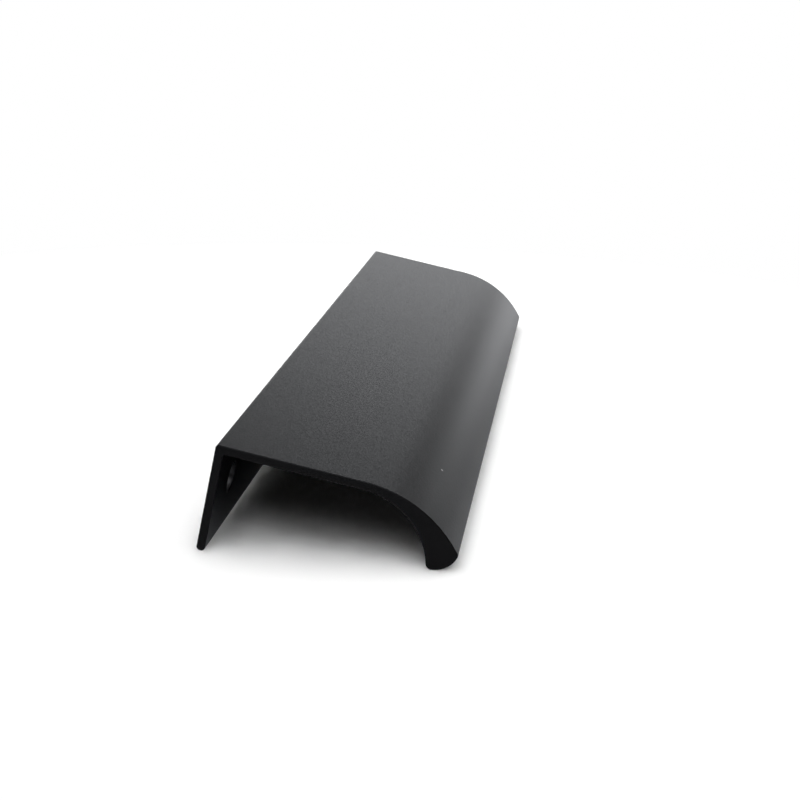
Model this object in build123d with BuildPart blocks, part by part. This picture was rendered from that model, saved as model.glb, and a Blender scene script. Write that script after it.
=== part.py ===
# Edge pull for a cabinet door: one length of extruded aluminium, sawn square, drilled and anodised black.
# The flange is screwed to the back of the door, the flat cover lies over the edge of the door,
# and the cover rolls down at the front into a thick lip for the fingers.
# Millimetres. +Z is up, +Y runs along the profile, and +X points from the flange to the lip.
# The pull lies as it does unheld on a level floor, on the foot of its flange and the tip of its lip,
# with its origin on the floor under its middle.

import os
from math import atan2, cos, degrees, radians, sin

from build123d import *

# Stock
length = 148.0  # sawn length
wall = 1.2  # thickness of the flange and of the cover

# Section, measured from the outer face of the flange and from the top of the cover
flange_depth = 15.5  # down to the foot of the flange
cover_width = 20.6  # flat part of the cover
roll_radius = 18.25  # top of the cover, where it rolls down to the lip
roll_angle = 51.9  # how far the roll turns, in degrees
grip_radius = 10.65  # hollow behind the lip, for the fingers
grip_angle = 79.5  # how far the hollow turns, in degrees
tip_crown = 0.95  # how far the lip's tip bulges out between its corners

# Rounded corners of the section
corner_radius = 0.5  # outside, between the flange and the cover
root_radius = 0.4  # inside, between the flange and the cover
foot_radius = 0.55  # both corners of the flange's foot
tip_inner_radius = 0.8  # where the hollow meets the tip
tip_outer_radius = 0.55  # where the roll meets the tip

# Screw holes through the flange
hole_spacing = 128.0  # centre to centre
hole_diameter = 4.5
hole_drop = 7.75  # from the top of the cover down to a hole's centre

# Edges broken after sawing and drilling
saw_break = 0.1
drill_break = 0.1


def arc_point(centre, radius, angle):
    return (centre[0] + radius * sin(radians(angle)), centre[1] + radius * cos(radians(angle)))


# Section, seen with the flange on the left. Both arcs start level where the flat cover ends,
# and the hollow turns further on a smaller radius, so the lip thickens towards its tip.
roll_start = (cover_width, 0)
roll_centre = (cover_width, -roll_radius)
roll_middle = arc_point(roll_centre, roll_radius, roll_angle / 2)
tip_outer = arc_point(roll_centre, roll_radius, roll_angle)

grip_start = (cover_width, -wall)
grip_centre = (cover_width, -wall - grip_radius)
grip_middle = arc_point(grip_centre, grip_radius, grip_angle / 2)
tip_inner = arc_point(grip_centre, grip_radius, grip_angle)

corner = (0, 0)
root = (wall, -wall)
foot_outer = (0, -flange_depth)
foot_inner = (wall, -flange_depth)

with BuildSketch() as section:
    with BuildLine():
        Polyline(roll_start, corner, foot_outer, foot_inner, root, grip_start)
        ThreePointArc(grip_start, grip_middle, tip_inner)
        SagittaArc(tip_inner, tip_outer, -tip_crown)
        ThreePointArc(tip_outer, roll_middle, roll_start)
    make_face()
    fillet(section.vertices().sort_by_distance(corner)[0], corner_radius)
    fillet(section.vertices().sort_by_distance(root)[0], root_radius)
    fillet(section.vertices().group_by(Axis.Y)[0], foot_radius)
    fillet(section.vertices().sort_by_distance(tip_inner)[0], tip_inner_radius)
    fillet(section.vertices().sort_by_distance(tip_outer)[0], tip_outer_radius)

# A floor under the section touches it as the longest side of its hull does, from the foot to the tip
with BuildSketch() as hull:
    make_hull(section.edges())
floor_line = hull.edges().filter_by(GeomType.LINE).sort_by(SortBy.LENGTH)[-1]
foot_contact, tip_contact = floor_line.vertices().sort_by(Axis.X)
floor_slope = atan2(tip_contact.Y - foot_contact.Y, tip_contact.X - foot_contact.X)

# Upright plane that levels the floor and centres the section over the origin
levelled = section.sketch.rotate(Axis.Z, -degrees(floor_slope)).bounding_box()
section_plane = Plane(
    origin=(-levelled.center().X, 0, -levelled.min.Y),
    x_dir=(cos(floor_slope), 0, -sin(floor_slope)),
    z_dir=(0, -1, 0),
)
hole_plane = Plane(
    origin=section_plane.from_local_coords((0, -hole_drop)),
    x_dir=(0, 1, 0),
    z_dir=-section_plane.x_dir,
)

with BuildPart() as edge_pull:
    with BuildSketch(section_plane):
        add(section.sketch)
    extrude(amount=length / 2, both=True)
    chamfer(edge_pull.faces().filter_by(Axis.Y).edges(), saw_break)
    # Drilled through the flange alone, since the lip stands in line with the holes
    with Locations(hole_plane):
        with GridLocations(hole_spacing, 0, 2, 1):
            Hole(hole_diameter / 2, depth=wall)
    chamfer(edge_pull.edges(Select.LAST).filter_by(GeomType.CIRCLE), drill_break)

edge_pull.part.label = "edge_pull"
os.makedirs("parts", exist_ok=True)
export_step(edge_pull.part, "parts/edge_pull.step")
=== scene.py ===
from math import radians, sin

import bpy
from mathutils import Matrix, Vector

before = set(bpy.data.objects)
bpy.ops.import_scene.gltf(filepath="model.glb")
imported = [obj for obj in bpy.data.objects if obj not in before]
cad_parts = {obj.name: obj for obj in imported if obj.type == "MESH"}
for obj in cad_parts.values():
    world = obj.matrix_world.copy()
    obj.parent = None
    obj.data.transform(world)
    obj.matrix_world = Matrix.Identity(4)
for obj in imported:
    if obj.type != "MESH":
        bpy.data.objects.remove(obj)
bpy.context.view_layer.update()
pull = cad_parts["edge_pull"]
mm = 0.001

# A Mix node has sockets of the same name for each kind of value; these are the ones for colours
mixShare, mixFrom, mixTo, mixResult = 0, 6, 7, 2


def linearColour(hexCode):  # sRGB hex to the linear values the shaders take
    parts = [int(hexCode[i:i + 2], 16) / 255 for i in (1, 3, 5)]
    return (*[p / 12.92 if p <= 0.04045 else ((p + 0.055) / 1.055) ** 2.4 for p in parts], 1.0)


def addNode(tree, kind, settings=None, inputs=None):  # sockets in inputs are linked, values are set
    node = tree.nodes.new(kind)
    for name, value in (settings or {}).items():
        setattr(node, name, value)
    for name, value in (inputs or {}).items():
        if isinstance(value, bpy.types.NodeSocket):
            tree.links.new(value, node.inputs[name])
        else:
            node.inputs[name].default_value = value
    return node


def emptyMaterial(name):
    material = bpy.data.materials.new(name)
    material.use_nodes = True
    material.node_tree.nodes.clear()
    return material, material.node_tree


def aim(standMm, faceMm):  # stands at one point and looks at another, as a lamp or a camera does
    stand, face = Vector(standMm) * mm, Vector(faceMm) * mm
    return Matrix.Translation(stand) @ (face - stand).to_track_quat("-Z", "Y").to_matrix().to_4x4()


# Bead blasted, dyed black and sealed: a dead matte black that only pales where it is seen at a glancing angle
anodising = {
    "colour": "#151516", "roughness": 0.42,
    "glance": "#fcfdff",  # the faintly cool cast it takes at a glancing angle
    # blasted grain, drawn out along the extrusion; the real one is finer and would not show
    "grainMm": (0.22, 0.75, 0.22), "grainDetail": 1.0, "grainHeightMm": 0.013,
    "dullest": 0.76, "dullToBright": (0.3, 0.7),  # sheen left on the dullest grain, and the grain's range
    # walls of the two screw holes, drilled and not blasted, so smoother; their paler colour is painted light,
    # standing in for light that falls on them through the holes; the second is the mirror image of this one
    "boreMm": (-16.01, 64, 7.65), "boreReachMm": 2.42, "borePaintedLightColour": "#2f2f30", "boreRoughness": 0.28,
    # one pale speck left on the roll
    "fleckMm": (13.51, -54.68, 7.78), "fleckRadiusMm": 0.18, "fleckColour": "#a8a8a5",
}


def outsideBall(tree, place, middleMm, radiusMm):  # 1 outside a small ball, 0 inside it
    away = addNode(tree, "ShaderNodeVectorMath", {"operation": "DISTANCE"}, {
        0: place, 1: Vector(middleMm) * mm}).outputs["Value"]
    return addNode(tree, "ShaderNodeMath", {"operation": "GREATER_THAN"}, {
        0: away, 1: radiusMm * mm}).outputs[0]


def blackAnodisedAluminium(look):
    material, tree = emptyMaterial("black anodised aluminium")
    place = addNode(tree, "ShaderNodeTexCoord").outputs["Object"]

    # grain: a slight relief, and a sheen with duller spots
    inGrains = addNode(tree, "ShaderNodeMapping", inputs={
        "Vector": place, "Scale": [1 / (size * mm) for size in look["grainMm"]]}).outputs[0]
    grain = addNode(tree, "ShaderNodeTexNoise", inputs={
        "Vector": inGrains, "Scale": 1.0, "Detail": look["grainDetail"], "Roughness": 0.5}).outputs["Fac"]
    relief = addNode(tree, "ShaderNodeBump", inputs={
        "Height": grain, "Distance": look["grainHeightMm"] * mm}).outputs["Normal"]
    dull, bright = look["dullToBright"]
    brightness = addNode(tree, "ShaderNodeMapRange", inputs={
        "Value": grain, "From Min": dull, "From Max": bright}).outputs[0]
    glance = linearColour(look["glance"])
    sheen = addNode(tree, "ShaderNodeMix", {"data_type": "RGBA"}, {
        mixShare: brightness, mixFrom: [part * look["dullest"] for part in glance],
        mixTo: glance}).outputs[mixResult]

    # bores: folded at mid length, so that one ball marks both; their paler colour is painted light, their lower
    # roughness is real
    sides = addNode(tree, "ShaderNodeSeparateXYZ", inputs={0: place}).outputs
    fromMiddle = addNode(tree, "ShaderNodeMath", {"operation": "ABSOLUTE"}, {0: sides["Y"]}).outputs[0]
    folded = addNode(tree, "ShaderNodeCombineXYZ", inputs={
        "X": sides["X"], "Y": fromMiddle, "Z": sides["Z"]}).outputs[0]
    blasted = outsideBall(tree, folded, look["boreMm"], look["boreReachMm"])
    # painted light: inside the bore ball the black is swapped for a paler grey, in place of light falling on the
    # walls through the holes
    dyeWithPaintedBoreLight = addNode(tree, "ShaderNodeMix", {"data_type": "RGBA"}, {
        mixShare: blasted, mixFrom: linearColour(look["borePaintedLightColour"]),
        mixTo: linearColour(look["colour"])}).outputs[mixResult]
    roughness = addNode(tree, "ShaderNodeMapRange", inputs={
        "Value": blasted, "To Min": look["boreRoughness"], "To Max": look["roughness"]}).outputs[0]

    # fleck: a dull crumb that is not metal
    clean = outsideBall(tree, place, look["fleckMm"], look["fleckRadiusMm"])
    colour = addNode(tree, "ShaderNodeMix", {"data_type": "RGBA"}, {
        mixShare: clean, mixFrom: linearColour(look["fleckColour"]), mixTo: dyeWithPaintedBoreLight}).outputs[mixResult]

    metal = addNode(tree, "ShaderNodeBsdfPrincipled", inputs={
        "Base Color": colour, "Specular Tint": sheen,
        "Metallic": clean, "Roughness": roughness, "Normal": relief})
    addNode(tree, "ShaderNodeOutputMaterial", inputs={"Surface": metal.outputs[0]})
    return material


pull.material_slots[0].material = blackAnodisedAluminium(anodising)
print("finish made")

# White opal board, laid flat and out of sight on every side; light that enters it comes out a little way off
board = {
    "colour": "#f6f6f6", "roughness": 0.7, "shine": 0.2, "widthMm": 120000, "spreadMm": 6,
    "whiteFromMm": 110, "whiteByMm": 170,  # lit board near the pull, plain white from here on
}


def opalBoard(look):
    material, tree = emptyMaterial("white opal board")
    place = addNode(tree, "ShaderNodeTexCoord").outputs["Object"]
    away = addNode(tree, "ShaderNodeVectorMath", {"operation": "LENGTH"}, {0: place}).outputs["Value"]
    far = addNode(tree, "ShaderNodeMapRange", {"interpolation_type": "SMOOTHSTEP"}, {
        "Value": away, "From Min": look["whiteFromMm"] * mm, "From Max": look["whiteByMm"] * mm}).outputs[0]
    ray = addNode(tree, "ShaderNodeLightPath").outputs
    seen = addNode(tree, "ShaderNodeMath", {"operation": "MAXIMUM"}, {
        0: ray["Is Camera Ray"], 1: ray["Is Glossy Ray"]}).outputs[0]
    seen = addNode(tree, "ShaderNodeMath", {"operation": "MAXIMUM"}, {
        0: seen, 1: ray["Is Transmission Ray"]}).outputs[0]
    share = addNode(tree, "ShaderNodeMath", {"operation": "MULTIPLY"}, {0: far, 1: seen}).outputs[0]
    lit = addNode(tree, "ShaderNodeBsdfPrincipled", {"subsurface_method": "BURLEY"}, {
        "Base Color": linearColour(look["colour"]), "Roughness": look["roughness"],
        "Specular IOR Level": look["shine"], "Subsurface Weight": 1.0,
        "Subsurface Radius": (1.0, 1.0, 1.0), "Subsurface Scale": look["spreadMm"] * mm})
    white = addNode(tree, "ShaderNodeEmission", inputs={"Strength": 1.0})
    both = addNode(tree, "ShaderNodeMixShader", inputs={0: share, 1: lit.outputs[0], 2: white.outputs[0]})
    addNode(tree, "ShaderNodeOutputMaterial", inputs={"Surface": both.outputs[0]})
    return material


def layBoard(look):
    half = look["widthMm"] * mm / 2
    mesh = bpy.data.meshes.new("boardTable")
    mesh.from_pydata([(-half, -half, 0), (half, -half, 0), (half, half, 0), (-half, half, 0)], [], [(0, 1, 2, 3)])
    mesh.materials.append(opalBoard(look))
    sheet = bpy.data.objects.new("boardTable", mesh)
    bpy.context.scene.collection.objects.link(sheet)


layBoard(board)
print("board laid")

# Soft boxes overhead and above the camera, and two small panels close behind the far end, in a dim room
studio = {
    # strength, then width and tilt to the front in degrees
    "softboxes": {"overheadSoftbox": (2.65, 85, 0), "frontSoftbox": (1.1, 50, 35)},
    # watts, then where the middle stands, what it faces, width and height in mm
    "panels": {
        "backPanel": (0.0755, (-22, 200, 51), (-22, 40, 51), 136, 98),
        "lowBackPanel": (0.0194, (58, 200, 20), (58, 40, 20), 70, 36)},
    # brightness of the room, paler at table height
    "horizon": 1.0, "room": 0.105, "horizonDegrees": 2, "roomDegrees": 4,
}


def softStudio(look):
    put = bpy.context.scene.collection.objects.link
    for name, (strength, width, tilt) in look["softboxes"].items():
        lamp = bpy.data.lights.new(name, "SUN")
        lamp.energy, lamp.angle = strength, radians(width)
        holder = bpy.data.objects.new(name, lamp)
        holder.rotation_euler.x = radians(tilt)
        put(holder)
    for name, (watts, stand, face, width, height) in look["panels"].items():
        lamp = bpy.data.lights.new(name, "AREA")
        lamp.energy, lamp.shape, lamp.size, lamp.size_y = watts, "RECTANGLE", width * mm, height * mm
        holder = bpy.data.objects.new(name, lamp)
        holder.matrix_world = aim(stand, face)
        holder.visible_camera = False
        put(holder)
    world = bpy.data.worlds.new("paleRoom")
    bpy.context.scene.world = world
    world.use_nodes = True
    tree = world.node_tree
    tree.nodes.clear()
    way = addNode(tree, "ShaderNodeTexCoord").outputs["Generated"]
    height = addNode(tree, "ShaderNodeSeparateXYZ", inputs={0: way}).outputs["Z"]
    level = addNode(tree, "ShaderNodeMapRange", {"interpolation_type": "SMOOTHSTEP"}, {
        "Value": height, "From Min": sin(radians(look["horizonDegrees"])),
        "From Max": sin(radians(look["roomDegrees"])), "To Min": look["horizon"], "To Max": look["room"]})
    room = addNode(tree, "ShaderNodeBackground", inputs={"Strength": level.outputs[0]})
    addNode(tree, "ShaderNodeOutputWorld", inputs={"Surface": room.outputs[0]})


softStudio(studio)
print("light set")

# Camera at the photograph's own viewpoint, a little above the pull and to the right of its near end
photoCamera = {
    "standMm": (32.31, -268.41, 78.85), "faceMm": (0.67, -1.45, 2.64), "rollDegrees": 2.26,
    "lensMm": 70.25, "sensorMm": 36.0, "sightMm": (10, 100000),  # nearest and furthest that it sees
}


def placeCamera(look):
    lens = bpy.data.cameras.new("photoCamera")
    lens.lens, lens.sensor_width = look["lensMm"], look["sensorMm"]
    lens.clip_start, lens.clip_end = [reach * mm for reach in look["sightMm"]]
    camera = bpy.data.objects.new("photoCamera", lens)
    roll = Matrix.Rotation(radians(look["rollDegrees"]), 4, "Z")
    camera.matrix_world = aim(look["standMm"], look["faceMm"]) @ roll
    bpy.context.scene.collection.objects.link(camera)
    bpy.context.scene.camera = camera


placeCamera(photoCamera)
bpy.context.scene.view_settings.view_transform = "Standard"
print("camera set")
